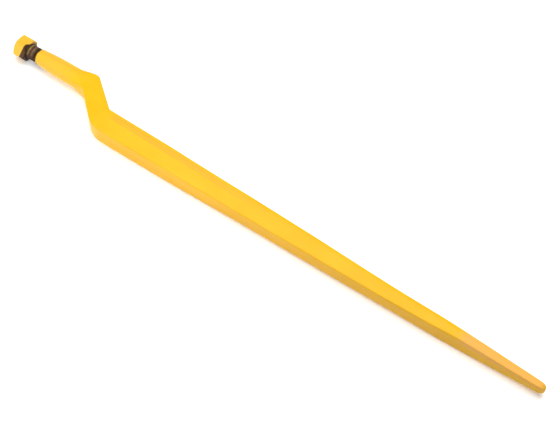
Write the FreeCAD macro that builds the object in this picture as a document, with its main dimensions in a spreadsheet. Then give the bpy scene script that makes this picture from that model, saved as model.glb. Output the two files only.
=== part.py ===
import FreeCAD, Part
import os
import Sketcher

# Cranked loader tine, lying on its flank as it comes to rest on a floor.
# One forging carries the threaded stud, the locating cone, the crank and the tapering blade.
# A hexagon nut is screwed onto the stud.
# Millimetres. X runs from the stud to the point, Y across the crank, Z up.
# Each body is drawn with the stud's end at X 0, the sole of the blade's heel at Y 0 and the
# floor at Z 0, and its Placement then brings the middle of the footprint to the origin.

SIZES = {
    # stud and nut
    "stud_dia": 22.0,
    "stud_run": 39.5,
    "stud_bevel": 1.5,
    "nut_flats": 32.0,
    "nut_run": 21.0,
    "nut_setback": 2.0,
    "nut_clearance": 0.1,
    "nut_countersink": 1.0,
    "nut_face_share": 0.93,
    "nut_bevel_angle": 30.0,
    # locating cone and neck
    "cone_small_dia": 23.5,
    "cone_big_dia": 28.0,
    "cone_run": 46.0,
    "neck_run": 13.0,
    # flare from the round neck to the square bar of the crank
    "flare_run": 33.0,
    "bar_depth": 31.0,
    "bar_thick": 32.0,
    "bar_crease": 3.0,
    # crank, whose inner and outer corners are shifted along it as in a mitre
    "crank_run": 47.0,
    "crank_offset": 41.3,
    "crank_miter": 3.6,
    "crank_outer_round": 10.0,
    "crank_inner_round": 5.0,
    "heel_round": 34.0,
    # blade, by its six stations: root, heel, waist, slim, shoulder and point. From the root to
    # the heel it has one thickness, and on that flat the tine rests
    "root_depth": 36.8,
    "root_sole_rise": 0.5,
    "root_thick": 35.6,
    "heel_at": 140.0,
    "heel_depth": 34.2,
    "waist_at": 252.0,
    "waist_depth": 31.5,
    "waist_sole_rise": 0.5,
    "waist_thick": 30.4,
    "slim_at": 480.0,
    "slim_depth": 22.0,
    "slim_sole_rise": 2.0,
    "slim_thick": 28.2,
    "shoulder_at": 589.5,
    "shoulder_depth": 15.8,
    "shoulder_sole_rise": 4.3,
    "shoulder_thick": 33.6,
    "point_at": 711.0,
    "point_depth": 10.6,
    "point_sole_rise": 6.4,
    "point_thick": 18.6,
    # long edges of the blade
    "sole_edge": 1.4,
    "back_bevel_run": 4.2,
    "back_bevel_drop": 1.5,
    "root_bevel_drop": 2.5,
    # blunt nose in front of the point
    "nose_run": 10.0,
    "nose_cheek_run": 6.5,
    "nose_cheek_share": 0.86,
    "nose_end_share": 0.46,
}

doc = FreeCAD.newDocument("loader_tine")
sheet = doc.addObject("Spreadsheet::Sheet", "sizes")
for row, (alias, value) in enumerate(SIZES.items(), start=1):
    sheet.set("A%d" % row, alias)
    sheet.set("B%d" % row, str(value))
    sheet.setAlias("B%d" % row, alias)
doc.recompute()

# Stations along X, and the shank's axis, written in the sheet's own values
CONE_START = "sizes.stud_run"
CONE_END = "(sizes.stud_run + sizes.cone_run)"
FLARE_START = "(sizes.stud_run + sizes.cone_run + sizes.neck_run)"
FIRST_BEND = "(%s + sizes.flare_run)" % FLARE_START
ROOT = "(%s + sizes.crank_run)" % FIRST_BEND
OVERALL = "(%s + sizes.point_at + sizes.nose_run)" % ROOT
MID = "(sizes.root_thick / 2)"
AXIS = "(sizes.root_sole_rise + sizes.root_depth / 2 + sizes.crank_offset)"


def origin_plane(body, role):
    """The origin plane of the body with this role."""
    return next(f for f in body.Origin.OriginFeatures if f.Role == role)


def new_sketch(body, name, role, offsets):
    """A sketch on an origin plane of its own body, shifted by bound offsets."""
    sketch = body.newObject("Sketcher::SketchObject", name)
    sketch.AttachmentSupport = [(origin_plane(body, role), "")]
    sketch.MapMode = "FlatFace"
    for axis, expression in offsets.items():
        sketch.setExpression("AttachmentOffset.Base.%s" % axis, expression)
    doc.recompute()
    return sketch


def evaluate(owner, expression):
    """The number, in millimetres, that an expression gives."""
    result = owner.evalExpression(expression)
    return float(getattr(result, "Value", result))


def draw_polygon(sketch, corners):
    """A closed polygon whose corners (across, up) are bound to the sheet."""
    first = sketch.GeometryCount
    count = len(corners)
    seeds = [FreeCAD.Vector(*(evaluate(sketch, part) for part in corner)) for corner in corners]
    for k in range(count):
        line = Part.LineSegment(seeds[k], seeds[(k + 1) % count])
        sketch.addGeometry(line, False)
    for k in range(count):
        here = first + k
        onward = first + (k + 1) % count
        sketch.addConstraint(Sketcher.Constraint("Coincident", here, 2, onward, 1))
    for k, corner in enumerate(corners):
        for kind, expression, seed in zip(("DistanceX", "DistanceY"), corner, seeds[k]):
            constraint = Sketcher.Constraint(kind, -1, 1, first + k, 1, seed)
            index = sketch.addConstraint(constraint)
            sketch.setExpression("Constraints[%d]" % index, expression)
    doc.recompute()


# Stations along the bar, as (X, shift of the corners along X, Y of the sole, depth, thickness,
# bevel run, bevel drop, sole edge). The sole's corner sits back by the shift, the back's corner on.
HIDDEN = "(sizes.cone_big_dia * 0.69)"


def blade_station(name, sole, thick_of):
    """A station of the blade, whose sizes carry its name."""
    return (
        "%s + sizes.%s_at" % (ROOT, name),
        "0",
        sole,
        "sizes.%s_depth" % name,
        "sizes.%s_thick" % thick_of,
        "sizes.back_bevel_run",
        "sizes.back_bevel_drop",
        "sizes.sole_edge",
    )


def nose_station(run, share):
    """The point's section made smaller about its own middle."""
    depth = "(sizes.point_depth * %s)" % share
    return (
        "%s + sizes.point_at + %s" % (ROOT, run),
        "0",
        "(sizes.point_sole_rise + (sizes.point_depth - %s) / 2)" % depth,
        depth,
        "(sizes.point_thick * %s)" % share,
        "(sizes.back_bevel_run * %s)" % share,
        "(sizes.back_bevel_drop * %s)" % share,
        "(sizes.sole_edge * %s)" % share,
    )


# The bar starts as a square that hides inside the round neck
STATIONS = [
    (FLARE_START, "0", "(%s - %s / 2)" % (AXIS, HIDDEN), HIDDEN, HIDDEN,
     "sizes.bar_crease", "sizes.bar_crease", "sizes.bar_crease"),
    (FIRST_BEND, "sizes.crank_miter", "(%s - sizes.bar_depth / 2)" % AXIS, "sizes.bar_depth",
     "sizes.bar_thick", "sizes.bar_crease", "sizes.bar_crease", "sizes.bar_crease"),
    (ROOT, "sizes.crank_miter", "sizes.root_sole_rise", "sizes.root_depth", "sizes.root_thick",
     "sizes.back_bevel_run", "sizes.root_bevel_drop", "sizes.sole_edge"),
    blade_station("heel", "0", "root"),
    blade_station("waist", "sizes.waist_sole_rise", "waist"),
    blade_station("slim", "sizes.slim_sole_rise", "slim"),
    blade_station("shoulder", "sizes.shoulder_sole_rise", "shoulder"),
    blade_station("point", "sizes.point_sole_rise", "point"),
    nose_station("sizes.nose_cheek_run", "sizes.nose_cheek_share"),
    nose_station("sizes.nose_run", "sizes.nose_end_share"),
]
BESIDE = "sizes.root_depth"
BELOW = "sizes.root_thick"


def sole_corner(station):
    """X and Y of the sole at a station."""
    return "(%s - %s)" % (station[0], station[1]), station[2]


def back_corner(station):
    """X and Y of the back at a station."""
    return "(%s + %s)" % (station[0], station[1]), "(%s + %s)" % (station[2], station[3])


tine = doc.addObject("PartDesign::Body", "tine")
tine.Label = "tine"

# Slab whose outline from the side gives the thickness at every station
side_view = new_sketch(tine, "thickness_outline", "XZ_Plane", {"z": BESIDE})
draw_polygon(side_view, [
    (station[0], "%s - %s / 2" % (MID, station[4])) for station in STATIONS
] + [
    (station[0], "%s + %s / 2" % (MID, station[4])) for station in reversed(STATIONS)
])
slab = tine.newObject("PartDesign::Pad", "thickness_slab")
slab.Profile = side_view
slab.Reversed = True
slab.setExpression("Length", "2 * %s + 2 * sizes.bar_depth" % AXIS)
doc.recompute()

# Everything outside the outline from above is cut away
plan_view = new_sketch(tine, "plan_outline", "XY_Plane", {
    "y": "-%s" % BESIDE,
    "z": "-%s" % BELOW,
})
FAR_SIDE = "2 * %s + 2 * sizes.bar_depth + 2 * %s" % (AXIS, BESIDE)
draw_polygon(plan_view, [
    ("sizes.stud_run", "0"),
    ("%s + %s" % (OVERALL, BESIDE), "0"),
    ("%s + %s" % (OVERALL, BESIDE), FAR_SIDE),
    ("sizes.stud_run", FAR_SIDE),
])
draw_polygon(plan_view, [
    ("%s - sizes.neck_run / 2" % FLARE_START, "%s + %s" % (sole_corner(STATIONS[0])[1], BESIDE)),
] + [
    (x, "%s + %s" % (y, BESIDE)) for x, y in map(sole_corner, STATIONS)
] + [
    (x, "%s + %s" % (y, BESIDE)) for x, y in map(back_corner, reversed(STATIONS))
] + [
    ("%s - sizes.neck_run / 2" % FLARE_START, "%s + %s" % (back_corner(STATIONS[0])[1], BESIDE)),
])
plan = tine.newObject("PartDesign::Pocket", "plan_cut")
plan.Profile = plan_view
plan.Reversed = True
plan.setExpression("Length", "3 * %s" % BELOW)
doc.recompute()


def edges_where(shape, wanted):
    """Names of the edges whose box passes the test."""
    return [
        "Edge%d" % number for number, edge in enumerate(shape.Edges, start=1)
        if wanted(edge.BoundBox)
    ]


def round_edges(name, base, names, radius):
    """A fillet on these edges of the tine."""
    fillet = tine.newObject("PartDesign::Fillet", name)
    fillet.Base = (base, names)
    fillet.setExpression("Radius", radius)
    doc.recompute()
    return fillet


def upright_at(shape, places):
    """Names of the edges that stand along Z at the given (X, Y) places."""
    spots = [tuple(evaluate(sheet, part) for part in place) for place in places]
    return edges_where(shape, lambda box: box.ZLength > box.XLength + box.YLength + 1.0 and any(
        abs(box.Center.x - x) + abs(box.Center.y - y) < 0.5 for x, y in spots))


heel = round_edges("heel_rounding", plan, upright_at(plan.Shape, [
    sole_corner(STATIONS[2]),
]), "sizes.heel_round")
outer = round_edges("crank_outer_rounding", heel, upright_at(heel.Shape, [
    back_corner(STATIONS[1]),
]), "sizes.crank_outer_round")
inner = round_edges("crank_inner_rounding", outer, upright_at(outer.Shape, [
    back_corner(STATIONS[2]),
    sole_corner(STATIONS[1]),
]), "sizes.crank_inner_round")


def slanted_cut(name, edge, inward, run, drop, upward):
    """Cuts a slanted strip off a long edge of the bar.

    edge gives the edge's X and Y, inward and upward are the signs from the edge into the bar
    along Y and from the middle to the edge along Z, and run and drop are the places of the
    strip's reach along Y and Z in a station.
    """
    reached = STATIONS + [("%s + %s" % (OVERALL, BELOW),) + STATIONS[-1][1:]]
    sketches = []
    for number, station in enumerate(reached, start=1):
        sketch = new_sketch(tine, "%s_%d" % (name, number), "YZ_Plane", {
            "x": "-%s" % BESIDE,
            "y": "-%s" % BELOW,
            "z": edge(station)[0],
        })
        side = "%s + %s" % (edge(station)[1], BESIDE)
        flank = "%s %s %s / 2 + %s" % (MID, upward, station[4], BELOW)
        outward, downward = ("-", "+")[inward == "-"], ("-", "+")[upward == "-"]
        across, along = station[run], station[drop]
        draw_polygon(sketch, [
            ("%s %s 1.5 * %s" % (side, inward, across), "%s %s 0.5 * %s" % (flank, upward, along)),
            ("%s %s 0.5 * %s" % (side, outward, across), "%s %s 0.5 * %s" % (flank, upward, along)),
            ("%s %s 0.5 * %s" % (side, outward, across), "%s %s 1.5 * %s" % (flank, downward, along)),
        ])
        sketches.append(sketch)
    cut = tine.newObject("PartDesign::SubtractiveLoft", name)
    cut.Profile = sketches[0]
    cut.Sections = sketches[1:]
    cut.Ruled = True
    doc.recompute()
    return cut


for level, upward in (("upper", "+"), ("lower", "-")):
    slanted_cut("%s_back_bevel" % level, back_corner, "-", 5, 6, upward)
    slanted_cut("%s_sole_edge" % level, sole_corner, "+", 7, 7, upward)

# Stud, cone and round neck
shank_sketch = new_sketch(tine, "shank_profile", "XY_Plane", {"y": AXIS, "z": MID})
STUD_RADIUS = "sizes.stud_dia / 2"
NECK_RADIUS = "sizes.cone_big_dia / 2"
# Past the neck the round runs out inside the flare, a little under the bar's surface
RUN_OUT = "(min(sizes.bar_depth; sizes.bar_thick) * 0.46)"
draw_polygon(shank_sketch, [
    ("0", "0"),
    (FIRST_BEND, "0"),
    (FIRST_BEND, RUN_OUT),
    (FLARE_START, NECK_RADIUS),
    (CONE_END, NECK_RADIUS),
    (CONE_START, "sizes.cone_small_dia / 2"),
    (CONE_START, STUD_RADIUS),
    ("sizes.stud_bevel", STUD_RADIUS),
    ("0", "%s - sizes.stud_bevel" % STUD_RADIUS),
])
shank = tine.newObject("PartDesign::Revolution", "stud_cone_and_neck")
shank.Profile = shank_sketch
shank.ReferenceAxis = (shank_sketch, ["H_Axis"])
shank.Angle = 360.0
doc.recompute()

# The nut stands with two of its flats level, so two corners point along Y
NUT_START = "sizes.nut_setback"
NUT_END = "(sizes.nut_setback + sizes.nut_run)"
CORNER = "(sizes.nut_flats / sqrt(3))"
BORE = "(sizes.stud_dia / 2 + sizes.nut_clearance)"
MOUTH = "(%s + sizes.nut_countersink)" % BORE
FACE = "(sizes.nut_flats / 2 * sizes.nut_face_share)"
BEVEL = "((%s + 1 - %s) * tan(sizes.nut_bevel_angle))" % (CORNER, FACE)

nut = doc.addObject("PartDesign::Body", "hex_nut")
nut.Label = "hex_nut"
hexagon = nut.newObject("PartDesign::AdditivePrism", "nut_hexagon")
hexagon.AttachmentSupport = [(origin_plane(nut, "YZ_Plane"), "")]
hexagon.MapMode = "FlatFace"
hexagon.Polygon = 6
hexagon.setExpression("Circumradius", CORNER)
hexagon.setExpression("Height", "sizes.nut_run")
hexagon.setExpression("AttachmentOffset.Base.x", AXIS)
hexagon.setExpression("AttachmentOffset.Base.y", MID)
hexagon.setExpression("AttachmentOffset.Base.z", NUT_START)
doc.recompute()


def turned_cut(name, outlines):
    """Cuts one or more closed outlines out of the nut, turned about the nut's axis."""
    sketch = new_sketch(nut, "%s_profile" % name, "XY_Plane", {"y": AXIS, "z": MID})
    for outline in outlines:
        draw_polygon(sketch, outline)
    groove = nut.newObject("PartDesign::Groove", name)
    groove.Profile = sketch
    groove.ReferenceAxis = (sketch, ["H_Axis"])
    groove.Angle = 360.0
    doc.recompute()
    return groove


turned_cut("nut_bore", [[
    (NUT_START, "0"),
    (NUT_END, "0"),
    (NUT_END, MOUTH),
    ("%s - sizes.nut_countersink" % NUT_END, BORE),
    ("%s + sizes.nut_countersink" % NUT_START, BORE),
    (NUT_START, MOUTH),
]])
nut.Tip = turned_cut("nut_corner_bevels", [
    [
        (NUT_START, FACE),
        (NUT_START, "%s + 1" % CORNER),
        ("%s + %s" % (NUT_START, BEVEL), "%s + 1" % CORNER),
    ],
    [
        (NUT_END, FACE),
        (NUT_END, "%s + 1" % CORNER),
        ("%s - %s" % (NUT_END, BEVEL), "%s + 1" % CORNER),
    ],
])

for body in (tine, nut):
    body.setExpression("Placement.Base.x", "-%s / 2" % OVERALL)
    body.setExpression("Placement.Base.y", "-(%s + %s) / 2" % (AXIS, CORNER))
    body.setExpression("Placement.Base.z", "0")
doc.recompute()

for thing in doc.Objects:
    if "Invalid" in thing.State or "Error" in thing.State:
        raise RuntimeError("%s did not build: %s" % (thing.Name, thing.State))

os.makedirs("parts", exist_ok=True)
for body in (tine, nut):
    if body.Shape.isNull() or not body.Shape.isValid():
        raise RuntimeError("%s has no valid shape" % body.Label)
    body.Shape.exportStep("parts/%s.step" % body.Label)
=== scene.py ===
"""Looks of a cranked loader tine with its nut, lying on its flank on a pale floor."""

import math
from bisect import bisect_right

import bpy
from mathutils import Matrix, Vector


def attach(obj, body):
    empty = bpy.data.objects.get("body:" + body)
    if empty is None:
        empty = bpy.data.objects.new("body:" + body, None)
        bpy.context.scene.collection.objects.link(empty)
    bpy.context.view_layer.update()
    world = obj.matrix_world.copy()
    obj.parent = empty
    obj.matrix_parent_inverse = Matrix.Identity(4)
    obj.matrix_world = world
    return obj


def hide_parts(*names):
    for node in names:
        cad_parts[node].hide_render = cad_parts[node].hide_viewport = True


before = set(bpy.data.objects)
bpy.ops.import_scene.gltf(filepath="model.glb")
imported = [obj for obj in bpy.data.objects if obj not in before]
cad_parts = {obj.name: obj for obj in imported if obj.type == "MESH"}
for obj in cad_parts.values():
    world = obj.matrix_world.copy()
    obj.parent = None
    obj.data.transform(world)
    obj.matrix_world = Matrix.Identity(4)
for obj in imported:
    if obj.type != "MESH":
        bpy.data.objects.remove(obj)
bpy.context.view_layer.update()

# Lengths are in millimetres, measured as on the solids: X from the stud's end, Y from the sole of
# the blade's root, Z from the floor. to_row() turns such a point into the row's metres.
STUD_RADIUS = 11.0
STUD_BEVEL = 1.5
THREAD_PITCH = 1.5
THREAD_DEPTH = 0.9
CONE_START = 39.5
CONE_END = 85.5
FLARE_START = 98.5
FIRST_BEND = 131.5
ROOT = 178.5
HEEL = ROOT + 140.0
WAIST = ROOT + 252.0
SLIM = ROOT + 480.0
SHOULDER = ROOT + 589.5
POINT = ROOT + 711.0
NOSE_END = POINT + 10.0
AXIS_Y = 60.2
MID_Z = 17.8
MITER = 3.6
CONE_SMALL_RADIUS = 11.75
NECK_RADIUS = 14.0
NUT_START = 2.0
NUT_RUN = 21.0
NUT_FLATS = 32.0
NUT_END = NUT_START + NUT_RUN
NUT_CORNER = NUT_FLATS / math.sqrt(3)
NUT_TURN = math.radians(-6)
NUT_BLUNTING = 0.5
ORIGIN = Vector((NOSE_END / 2, (AXIS_Y + NUT_CORNER) / 2, 0.0))


def to_row(x, y, z):
    """A point measured on the part, in the row's metres."""
    return (Vector((x, y, z)) - ORIGIN) / 1000.0


def on_shank(x, radius, angle):
    """A point round the shank's axis, in the row's metres."""
    return to_row(x, AXIS_Y + radius * math.cos(angle), MID_Z + radius * math.sin(angle))


# ---- forging ----


def rounded_line(corners):
    """A line over X through (x, y, radius) corners, as a list of points with arcs at the corners."""
    points = [corners[0][:2]]
    for before, here, after in zip(corners, corners[1:], corners[2:]):
        a = Vector(before[:2])
        b = Vector(here[:2])
        c = Vector(after[:2])
        into = (b - a).normalized()
        out = (c - b).normalized()
        turn = into.angle_signed(out)
        if abs(turn) < 1e-4:
            points.append(here[:2])
            continue
        reach = here[2] * math.tan(abs(turn) / 2)
        start = b - into * reach
        side = Vector((-into.y, into.x)) * (-1 if turn > 0 else 1)
        centre = start + side * here[2]
        steps = max(2, round(math.degrees(abs(turn)) / 4))
        for k in range(steps + 1):
            angle = -turn * k / steps
            arm = start - centre
            points.append((
                centre.x + arm.x * math.cos(angle) - arm.y * math.sin(angle),
                centre.y + arm.x * math.sin(angle) + arm.y * math.cos(angle),
            ))
    points.append(corners[-1][:2])
    return points


def along(points, x):
    """The line's y at x."""
    k = min(max(bisect_right([p[0] for p in points], x) - 1, 0), len(points) - 2)
    (x0, y0), (x1, y1) = points[k], points[k + 1]
    return y0 + (y1 - y0) * (x - x0) / (x1 - x0)


# Sole and back in plan, with the crank's rounded bends. Radii in the last column.
SOLE = rounded_line([
    (FLARE_START, 45.9, 0.0),
    (FIRST_BEND - MITER, 44.8, 14.0),
    (174.3, 0.9, 40.0),
    (206.0, 0.25, 300.0),
    (250.0, 0.05, 600.0),
    (320.0, 0.0, 600.0),
    (375.0, 0.35, 900.0),
    (441.0, 0.8, 900.0),
    (561.0, 1.2, 900.0),
    (SLIM, 2.0, 900.0),
    (732.0, 2.8, 600.0),
    (SHOULDER, 4.0, 600.0),
    (849.0, 5.1, 900.0),
    (POINT, 5.8, 60.0),
    (NOSE_END, 7.6, 0.0),
])
BACK = rounded_line([
    (FLARE_START, 74.2, 0.0),
    (136.0, 74.8, 9.0),
    (181.0, 37.1, 6.0),
    (245.0, 35.7, 600.0),
    (300.0, 34.6, 600.0),
    (315.0, 33.7, 600.0),
    (430.5, 31.8, 900.0),
    (528.0, 28.9, 900.0),
    (615.0, 25.4, 900.0),
    (SLIM, 23.9, 900.0),
    (740.0, 21.5, 600.0),
    (SHOULDER, 20.0, 600.0),
    (812.0, 18.9, 600.0),
    (849.0, 17.8, 600.0),
    (POINT, 16.8, 60.0),
    (NOSE_END, 15.1, 0.0),
])
THICK = rounded_line([
    (FLARE_START, 28.0, 0.0),
    (FIRST_BEND, 31.6, 60.0),
    (ROOT, 35.6, 200.0),
    (238.0, 35.6, 900.0),
    (HEEL, 34.6, 900.0),
    (390.0, 31.0, 900.0),
    (440.0, 29.6, 900.0),
    (561.0, 28.5, 2000.0),
    (672.0, 27.5, 500.0),
    (SHOULDER, 33.4, 120.0),
    (812.0, 28.2, 600.0),
    (POINT, 18.6, 60.0),
    (NOSE_END, 16.5, 0.0),
])
BEVEL_RUN = [(FLARE_START, 3.5), (FIRST_BEND, 3.5), (ROOT, 4.2), (POINT, 4.2), (NOSE_END, 3.5)]
BEVEL_DROP = [(FLARE_START, 2.5), (FIRST_BEND, 2.5), (ROOT, 2.2), (HEEL, 1.5), (POINT, 1.5),
              (NOSE_END, 1.2)]
SOLE_EDGE = [(FLARE_START, 4.0), (FIRST_BEND, 4.0), (ROOT, 2.5), (HEEL, 1.8), (POINT, 1.8),
             (NOSE_END, 1.8)]
BACK_EDGE = [(FLARE_START, 4.0), (FIRST_BEND, 4.0), (ROOT, 2.5), (HEEL, 1.5), (POINT, 1.2),
             (NOSE_END, 1.2)]
BEVEL_EDGE = 3.0
ARC_STEPS = 6
FLAT_STEPS = 5


def rounded_polygon(corners, radii):
    """Points round a convex polygon whose corners are arcs, the same count for every call."""
    points = []
    count = len(corners)
    for k in range(count):
        before = Vector(corners[k - 1])
        here = Vector(corners[k])
        after = Vector(corners[(k + 1) % count])
        into = here - before
        out = after - here
        turn = abs(into.angle_signed(out))
        limit = 0.48 * min(into.length, out.length)
        reach = min(radii[k] * math.tan(turn / 2), limit)
        start = here - into.normalized() * reach
        end = here + out.normalized() * reach
        for j in range(ARC_STEPS + 1):
            t = j / ARC_STEPS
            points.append(start * (1 - t) ** 2 + here * 2 * t * (1 - t) + end * t * t)
        following = Vector(corners[(k + 2) % count]) - after
        next_turn = abs(out.angle_signed(following))
        next_reach = min(radii[(k + 1) % count] * math.tan(next_turn / 2),
                         0.48 * min(out.length, following.length))
        goal = after - out.normalized() * next_reach
        for j in range(1, FLAT_STEPS):
            points.append(end.lerp(goal, j / FLAT_STEPS))
    return points


def section(x):
    """The forging's closed section at x, as (y, z) points."""
    sole = along(SOLE, x)
    back = along(BACK, x)
    half = along(THICK, x) / 2
    run = along(BEVEL_RUN, x)
    drop = along(BEVEL_DROP, x)
    sole_edge = along(SOLE_EDGE, x)
    back_edge = along(BACK_EDGE, x)
    return rounded_polygon(
        [
            (sole, MID_Z - half),
            (back - run, MID_Z - half),
            (back, MID_Z - half + drop),
            (back, MID_Z + half - drop),
            (back - run, MID_Z + half),
            (sole, MID_Z + half),
        ],
        [sole_edge, BEVEL_EDGE, back_edge, back_edge, BEVEL_EDGE, sole_edge],
    )


def circle_ring(like, radius):
    """Points on the shank's circle, in the same directions as those of a section."""
    middle = Vector((AXIS_Y, MID_Z))
    return [middle + (p - middle).normalized() * radius for p in like]


def smooth(t):
    """A soft step from 0 to 1."""
    t = min(max(t, 0.0), 1.0)
    return t * t * (3 - 2 * t)


def loft(name, rings, close_ends=True):
    """A mesh through closed rings of row points, smooth shaded."""
    count = len(rings[0])
    vertices = [p for ring in rings for p in ring]
    faces = []
    for r in range(len(rings) - 1):
        for k in range(count):
            n = (k + 1) % count
            a = r * count
            b = a + count
            faces.append((a + k, b + k, b + n, a + n))
    if close_ends:
        faces.append(tuple(range(count)))
        faces.append(tuple(range(len(vertices) - 1, len(vertices) - count - 1, -1)))
    mesh = bpy.data.meshes.new(name)
    mesh.from_pydata(vertices, [], faces)
    mesh.validate()
    mesh.update()
    for face in mesh.polygons:
        face.use_smooth = True
    piece = bpy.data.objects.new(name, mesh)
    bpy.context.scene.collection.objects.link(piece)
    return piece


def make_forging():
    """Cone, neck, flare, crank, blade and nose as one skin."""
    like = section(FIRST_BEND)
    rings = []

    def add_circle(x, radius):
        rings.append([to_row(x, p.x, p.y) for p in circle_ring(like, radius)])

    add_circle(CONE_START, STUD_RADIUS - THREAD_DEPTH)
    add_circle(CONE_START, CONE_SMALL_RADIUS - 0.6)
    add_circle(CONE_START + 0.2, CONE_SMALL_RADIUS - 0.2)
    for k in range(13):
        t = k / 12
        start = CONE_START + 0.6
        add_circle(start + (CONE_END - start) * t,
                   CONE_SMALL_RADIUS + (NECK_RADIUS - CONE_SMALL_RADIUS) * math.sin(t * math.pi / 2))
    add_circle((CONE_END + FLARE_START) / 2, NECK_RADIUS)
    stations = sorted(
        {round(p[0], 3) for p in SOLE + BACK + THICK}
        | {FLARE_START + 3.0 * k for k in range(28)}
        | {ROOT + 6.0 * k for k in range(119)}
    )
    stations = [x for x in stations if FLARE_START <= x < POINT - 0.5]
    last = -1.0
    for x in stations:
        if x - last < 0.35:
            continue
        last = x
        ring = section(x)
        share = smooth((x - FLARE_START) / (FIRST_BEND - FLARE_START))
        if share < 1:
            round_ring = circle_ring(like, NECK_RADIUS)
            ring = [a.lerp(b, share) for a, b in zip(round_ring, ring)]
        rings.append([to_row(x, p.x, p.y) for p in ring])
    nose = section(POINT)
    middle = Vector((along(SOLE, POINT) + along(BACK, POINT), 2 * MID_Z)) / 2
    for k in range(9):
        angle = math.radians(85) * k / 8
        x = POINT + (NOSE_END - POINT) * math.sin(angle) / math.sin(math.radians(85))
        share = 0.3 + 0.7 * math.cos(angle)
        rings.append([to_row(x, *(middle + (p - middle) * share)) for p in nose])
    return loft("tine_forging", rings)


# ---- stud and nut ----


def make_stud():
    """The stud with its helical thread, from its bevelled end to the foot of the cone."""
    around = 72
    step = THREAD_PITCH / 8
    rows = int((CONE_START + 0.5) / step)
    rings = []
    for r in range(rows + 1):
        x = r * step
        ring = []
        for k in range(around):
            angle = 2 * math.pi * k / around
            phase = (x / THREAD_PITCH - k / around) % 1.0
            groove = THREAD_DEPTH * (1 - abs(2 * phase - 1))
            fade = smooth((CONE_START - 1.5 - x) / 2.0)
            radius = STUD_RADIUS - 0.05 - groove * fade - (1 - fade) * THREAD_DEPTH * 0.75
            radius = min(radius, STUD_RADIUS - STUD_BEVEL + x)
            ring.append(on_shank(x, radius, angle))
        rings.append(ring)
    return loft("stud_thread", rings)


def make_nut():
    """A hexagon nut with bevelled corners and a countersunk bore."""
    sides = 6
    per_side = 16
    near_face = NUT_FLATS / 2 * 0.93
    end_face = NUT_FLATS / 2 * 0.80
    mouth = STUD_RADIUS + 1.1
    bore = STUD_RADIUS + 0.1
    slope = math.tan(math.radians(30))
    x0 = NUT_START
    x1 = NUT_END
    count = sides * per_side

    def ring_of(rule):
        ring = []
        for k in range(count):
            angle = 2 * math.pi * k / count
            within = (k % per_side) / per_side * math.pi / 3 - math.pi / 6
            flat = min(NUT_FLATS / 2 / math.cos(within), NUT_CORNER - NUT_BLUNTING)
            x, radius = rule(flat)
            turned = angle + NUT_TURN
            ring.append(on_shank(x, radius, turned))
        return ring

    def cut(flat, face):
        return max(0.0, flat - face) * slope

    rules = [
        lambda flat: (x0 + 1.0, bore),
        lambda flat: (x0, mouth),
        lambda flat: (x0, end_face),
        lambda flat: (x0 + cut(flat, end_face), flat),
        lambda flat: (x0 + cut(flat, end_face) + 4.0, flat),
        lambda flat: (x1 - cut(flat, near_face) - 4.0, flat),
        lambda flat: (x1 - cut(flat, near_face), flat),
        lambda flat: (x1, near_face),
        lambda flat: (x1, mouth),
        lambda flat: (x1 - 1.0, bore),
        lambda flat: (x0 + 1.0, bore),
    ]
    piece = loft("nut_painted", [ring_of(rule) for rule in rules], close_ends=False)
    bevel = piece.modifiers.new("soft_edges", "BEVEL")
    bevel.width = 0.0005
    bevel.segments = 3
    bevel.limit_method = "ANGLE"
    bevel.angle_limit = math.radians(18)
    return piece


# ---- materials ----

# The lines and band of painted shade run at these distances in front of the blade's back, which slopes
BACK_AT_ROOT = 37.2
BACK_SLOPE = -0.0216
SHADE_LINE_PLACES = (6.8, 11.6)
SHADE_LINE_HALVES = (2.6, 2.4)
BEVEL_SHADE_PLACE = 7.5
BEVEL_SHADE_HALF = 7.0
# Directions across the shank: the side that lies low in the photograph, and the one seen on top
LOW_Y, LOW_Z = 0.84, 0.54
TOP_Y, TOP_Z = -0.39, 0.88
PAINT = (0.775, 0.409, 0.005)
LIGHTER_PAINT = (0.825, 0.447, 0.010)
TIP_SHEEN_PAINT = (0.80, 0.402, 0.066)
SHANK_PAINT = (0.80, 0.430, 0.036)
CREASE_SHADE_PAINT = (0.75, 0.330, 0.030)
SHADED_STEEL = (0.060, 0.032, 0.018)


def new_material(name):
    """A node material with its tree and its Principled shader."""
    material = bpy.data.materials.new(name)
    material.use_nodes = True
    tree = material.node_tree
    shader = tree.nodes["Principled BSDF"]
    return material, tree, shader


def noise(tree, scale, detail=4.0, stretch=(1, 1, 1)):
    """Noise in object space, scaled per metre."""
    place = tree.nodes.new("ShaderNodeTexCoord")
    mapping = tree.nodes.new("ShaderNodeMapping")
    mapping.inputs["Scale"].default_value = stretch
    texture = tree.nodes.new("ShaderNodeTexNoise")
    texture.inputs["Scale"].default_value = scale
    texture.inputs["Detail"].default_value = detail
    tree.links.new(place.outputs["Object"], mapping.inputs["Vector"])
    tree.links.new(mapping.outputs["Vector"], texture.inputs["Vector"])
    return texture.outputs["Fac"]


def ramp(tree, value, stops):
    """A colour ramp over (position, colour) stops."""
    node = tree.nodes.new("ShaderNodeValToRGB")
    elements = node.color_ramp.elements
    while len(elements) < len(stops):
        elements.new(0.5)
    for element, (position, colour) in zip(elements, stops):
        element.position = position
        element.color = (*colour, 1)
    tree.links.new(value, node.inputs["Fac"])
    return node.outputs["Color"]


def bump(tree, shader, heights):
    """Chains bumps of (height, strength, distance in metres) into the shader's normal."""
    normal = None
    for height, strength, distance in heights:
        node = tree.nodes.new("ShaderNodeBump")
        node.inputs["Strength"].default_value = strength
        node.inputs["Distance"].default_value = distance
        tree.links.new(height, node.inputs["Height"])
        if normal:
            tree.links.new(normal, node.inputs["Normal"])
        normal = node.outputs["Normal"]
    tree.links.new(normal, shader.inputs["Normal"])


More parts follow.
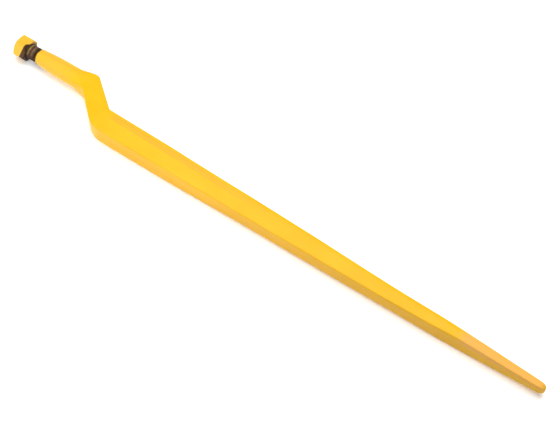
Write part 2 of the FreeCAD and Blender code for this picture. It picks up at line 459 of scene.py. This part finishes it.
def maths(tree, operation, *values):
    """A Math node over sockets or numbers."""
    node = tree.nodes.new("ShaderNodeMath")
    node.operation = operation
    for socket, value in zip(node.inputs, values):
        if isinstance(value, (int, float)):
            socket.default_value = value
        else:
            tree.links.new(value, socket)
    return node.outputs["Value"]


def soft(tree, value, low, high):
    """A soft step from 0 at low to 1 at high, also where low is the larger."""
    node = tree.nodes.new("ShaderNodeMapRange")
    node.interpolation_type = "SMOOTHSTEP"
    node.inputs["From Min"].default_value = low
    node.inputs["From Max"].default_value = high
    tree.links.new(value, node.inputs["Value"])
    return node.outputs["Result"]


def pulse(tree, value, middle, half):
    """1 at the middle value, falling softly to 0 at half above and below it."""
    away = maths(tree, "ABSOLUTE", maths(tree, "SUBTRACT", value, middle))
    return soft(tree, away, half, 0.0)


def mix(tree, share, first, second):
    """first where share is 0 and second where it is 1, for colours."""
    node = tree.nodes.new("ShaderNodeMix")
    node.data_type = "RGBA"
    tree.links.new(share, node.inputs[0])
    for socket, value in ((node.inputs[6], first), (node.inputs[7], second)):
        if isinstance(value, tuple):
            socket.default_value = (*value, 1)
        else:
            tree.links.new(value, socket)
    return node.outputs[2]


def part_place(tree):
    """X, Y and Z in millimetres as measured on the part."""
    place = tree.nodes.new("ShaderNodeTexCoord")
    split = tree.nodes.new("ShaderNodeSeparateXYZ")
    tree.links.new(place.outputs["Object"], split.inputs["Vector"])
    return [
        maths(tree, "MULTIPLY_ADD", split.outputs[k], 1000.0, ORIGIN[k]) for k in range(3)
    ]


def across(tree, y, z, share_y, share_z):
    """Distance from the shank's axis along a direction in its section."""
    return maths(
        tree, "ADD",
        maths(tree, "MULTIPLY", maths(tree, "SUBTRACT", y, AXIS_Y), share_y),
        maths(tree, "MULTIPLY", maths(tree, "SUBTRACT", z, MID_Z), share_z),
    )


def enamel_over_steel(name, bare_or_shade):
    """Yellow enamel on a forged skin, and steel where the given mask function gives 1: bare steel, or on
    the nut also a ring of painted shade.
    """
    material, tree, shader = new_material(name)
    x, y, z = part_place(tree)
    yellow = ramp(tree, noise(tree, 14.0, 4.0, (1, 3, 3)), [
        (0.30, PAINT),
        (0.70, LIGHTER_PAINT),
    ])
    # Painted sheen: past the shoulder the top flank turns paler, standing in for the reflection on its
    # down-sloping face
    tip_sheen = maths(tree, "MULTIPLY", soft(tree, x, SHOULDER - 6, SHOULDER + 14), soft(tree, z, 22.0, 26.0))
    yellow = mix(tree, tip_sheen, yellow, TIP_SHEEN_PAINT)
    yellow = mix(tree, soft(tree, x, FIRST_BEND + 10, FLARE_START - 30), yellow, SHANK_PAINT)
    # Painted shade: two faint lines and a broad band in a slightly deeper yellow run beside the back of
    # the blade's root, standing for the shading of shallow creases and of the back bevel
    back_line = maths(tree, "MULTIPLY_ADD", maths(tree, "SUBTRACT", x, ROOT), BACK_SLOPE, BACK_AT_ROOT)
    behind = maths(tree, "SUBTRACT", back_line, y)
    pulses = [pulse(tree, behind, place, half) for place, half in zip(SHADE_LINE_PLACES, SHADE_LINE_HALVES)]
    bevel_shade = maths(tree, "MULTIPLY", pulse(tree, behind, BEVEL_SHADE_PLACE, BEVEL_SHADE_HALF), 0.5)
    shade_lines = maths(tree, "MAXIMUM", maths(tree, "MAXIMUM", *pulses), bevel_shade)
    reach = maths(tree, "MULTIPLY", soft(tree, x, ROOT + 6, ROOT + 20), soft(tree, x, WAIST + 60, HEEL))
    painted_crease_shade = maths(tree, "MULTIPLY", maths(tree, "MULTIPLY", shade_lines, reach), soft(tree, z, 30.0, 32.0))
    painted_crease_shade = maths(tree, "MULTIPLY", painted_crease_shade, soft_line(tree, noise(tree, 25.0, 3.0, (1, 3, 1)), 0.1, 0.5))
    yellow = mix(tree, maths(tree, "MULTIPLY", painted_crease_shade, 0.80), yellow, CREASE_SHADE_PAINT)
    # The bare steel along the thread carries ragged bands across it: light bands of painted glint and
    # sheen, the one nearest the nut partly yellowish paint overspray, between dark bands of painted
    # shade in the thread's roots and beside the cone
    thread_band_place = maths(tree, "MULTIPLY_ADD", noise(tree, 220.0, 3.0), 3.0, x)
    bare_steel_with_painted_light = ramp(tree, soft_line(tree, thread_band_place, 20.0, 44.0), [
        (0.16, (0.050, 0.026, 0.010)),
        (0.25, (0.400, 0.280, 0.110)),
        (0.36, (0.060, 0.026, 0.010)),
        (0.52, (0.240, 0.150, 0.100)),
        (0.66, (0.045, 0.026, 0.006)),
        (0.90, (0.075, 0.042, 0.018)),
    ])
    # Painted shade: the bare steel darkens towards the shank's lower side
    painted_underside_shade = soft(tree, across(tree, y, z, LOW_Y, LOW_Z), -2.0, -8.0)
    bare_steel_with_painted_light = mix(tree, painted_underside_shade, bare_steel_with_painted_light, SHADED_STEEL)
    share = bare_or_shade(tree, x, y, z)
    tree.links.new(mix(tree, share, yellow, bare_steel_with_painted_light), shader.inputs["Base Color"])
    tree.links.new(maths(tree, "MULTIPLY", share, 0.5), shader.inputs["Metallic"])
    rough = maths(tree, "MULTIPLY_ADD", noise(tree, 90.0), 0.16, 0.24)
    rough = maths(tree, "MULTIPLY_ADD", share, 0.15, rough)
    tree.links.new(rough, shader.inputs["Roughness"])
    shader.inputs["Specular IOR Level"].default_value = 0.09
    bump(tree, shader, [
        (noise(tree, 30.0, 3.0, (1, 2, 2)), 0.25, 0.0008),
        (noise(tree, 380.0, 2.0), 0.10, 0.0002),
    ])
    return material


def soft_line(tree, value, low, high):
    """The value scaled straight from 0 at low to 1 at high."""
    node = tree.nodes.new("ShaderNodeMapRange")
    node.inputs["From Min"].default_value = low
    node.inputs["From Max"].default_value = high
    tree.links.new(value, node.inputs["Value"])
    return node.outputs["Result"]


def bare_thread(tree, x, y, z):
    """The paint starts where the cone does, and has run a little onto the thread at the top."""
    height = across(tree, y, z, TOP_Y, TOP_Z)
    edge = maths(tree, "MULTIPLY_ADD", maths(tree, "MAXIMUM", height, -2.0), -0.70, 44.3)
    ragged = maths(tree, "MULTIPLY_ADD", noise(tree, 160.0, 3.0), 1.6, edge)
    return soft(tree, maths(tree, "SUBTRACT", x, ragged), 0.3, -0.5)


def nut_bare_face_and_bore_shade(tree, x, y, z):
    """The end of the nut towards the cone has no paint, but for the upper part of its face, and a dark
    ring of painted shade lies round the bore's mouth.
    """
    dy = maths(tree, "SUBTRACT", y, AXIS_Y)
    dz = maths(tree, "SUBTRACT", z, MID_Z)
    squares = maths(tree, "ADD", maths(tree, "MULTIPLY", dy, dy), maths(tree, "MULTIPLY", dz, dz))
    radius = maths(tree, "SQRT", squares)
    down = across(tree, y, z, -LOW_Y, -LOW_Z)
    ragged = maths(tree, "MULTIPLY_ADD", noise(tree, 200.0, 3.0), 4.0, down)
    longer = maths(tree, "MULTIPLY", maths(tree, "MAXIMUM", ragged, 0.0), 0.16)
    reach = maths(tree, "MULTIPLY_ADD", soft(tree, ragged, -8.5, -4.5), 5.0, longer)
    skirt = soft(tree, maths(tree, "ADD", x, reach), NUT_END - 0.4, NUT_END + 0.3)
    # Painted shade: a dark ring round the bore's mouth stands for the shadow at the hole
    near_end = soft(tree, x, NUT_END - 1.7, NUT_END - 1.0)
    ring = maths(tree, "MULTIPLY", soft(tree, radius, 13.6, 12.4), near_end)
    return maths(tree, "MAXIMUM", skirt, ring)


forging = make_forging()
stud = make_stud()
nut = make_nut()
tine_finish = enamel_over_steel("tine_finish", bare_thread)
forging.data.materials.append(tine_finish)
stud.data.materials.append(tine_finish)
nut.data.materials.append(enamel_over_steel("nut_finish", nut_bare_face_and_bore_shade))
for piece, node, slot in (
    (forging, "tine", "tine_enamel"),
    (stud, "tine", "tine_enamel"),
    (nut, "hex_nut", "nut_enamel"),
):
    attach(piece, "root")
    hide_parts(node)

# ---- floor, light and camera ----

FLOOR_HALF = 12.0
floor_mesh = bpy.data.meshes.new("floor")
floor_mesh.from_pydata(
    [(-FLOOR_HALF, -FLOOR_HALF, 0), (FLOOR_HALF, -FLOOR_HALF, 0),
     (FLOOR_HALF, FLOOR_HALF, 0), (-FLOOR_HALF, FLOOR_HALF, 0)], [], [(0, 1, 2, 3)])
floor = bpy.data.objects.new("floor", floor_mesh)
bpy.context.scene.collection.objects.link(floor)
floor_material, floor_tree, floor_shader = new_material("pale_floor")
floor_tone = ramp(floor_tree, noise(floor_tree, 3.0, 2.0), [
    (0.3, (0.845, 0.845, 0.842)),
    (0.7, (0.870, 0.870, 0.867)),
])
floor_tree.links.new(floor_tone, floor_shader.inputs["Base Color"])
floor_shader.inputs["Roughness"].default_value = 0.9
# A faintly lit table keeps the shadows as weak as the photograph's
floor_shader.inputs["Emission Color"].default_value = (1.0, 1.0, 1.0, 1.0)
floor_shader.inputs["Emission Strength"].default_value = 0.36
floor_mesh.materials.append(floor_material)


def area_light(name, place, aim, size, power, spread=180.0):
    """A round lamp that the camera doesn't see; spread in degrees."""
    light = bpy.data.lights.new(name, "AREA")
    light.shape = "DISK"
    light.size = size
    light.energy = power
    light.spread = math.radians(spread)
    lamp = bpy.data.objects.new(name, light)
    lamp.location = place
    lamp.rotation_mode = "QUATERNION"
    lamp.rotation_quaternion = (Vector(aim) - Vector(place)).to_track_quat("-Z", "Y")
    lamp.visible_camera = False
    bpy.context.scene.collection.objects.link(lamp)


area_light("overhead", (-0.10, 0.50, 2.60), (0.0, 0.0, 0.0), 2.6, 111.0)
area_light("root_side", (-0.75, -1.50, 0.40), (-0.36, 0.0, 0.0), 0.8, 1.2, 40.0)

world = bpy.data.worlds.new("soft_room")
world.use_nodes = True
world.node_tree.nodes["Background"].inputs["Color"].default_value = (1.0, 1.0, 1.0, 1.0)
world.node_tree.nodes["Background"].inputs["Strength"].default_value = 0.03
bpy.context.scene.world = world
bpy.context.scene.view_settings.view_transform = "Standard"
bpy.context.scene.view_settings.look = "None"

# The photograph looks down on the tine's flank from the blade's sole side
AZIMUTH = math.radians(33.64)
ELEVATION = math.radians(61.86)
TARGET = Vector((0.0224, -0.01340, 0.018))
DISTANCE = 2.5
FOCAL_IN_WIDTHS = 1832.0 / 556.0
camera_data = bpy.data.cameras.new("camera")
camera = bpy.data.objects.new("camera", camera_data)
bpy.context.scene.collection.objects.link(camera)
back = Vector((
    math.sin(AZIMUTH) * math.cos(ELEVATION),
    -math.cos(AZIMUTH) * math.cos(ELEVATION),
    math.sin(ELEVATION),
))
camera.location = TARGET + back * DISTANCE
camera.rotation_mode = "QUATERNION"
camera.rotation_quaternion = (-back).to_track_quat("-Z", "Y")
camera_data.sensor_width = 36.0
camera_data.lens = 36.0 * FOCAL_IN_WIDTHS
bpy.context.scene.camera = camera
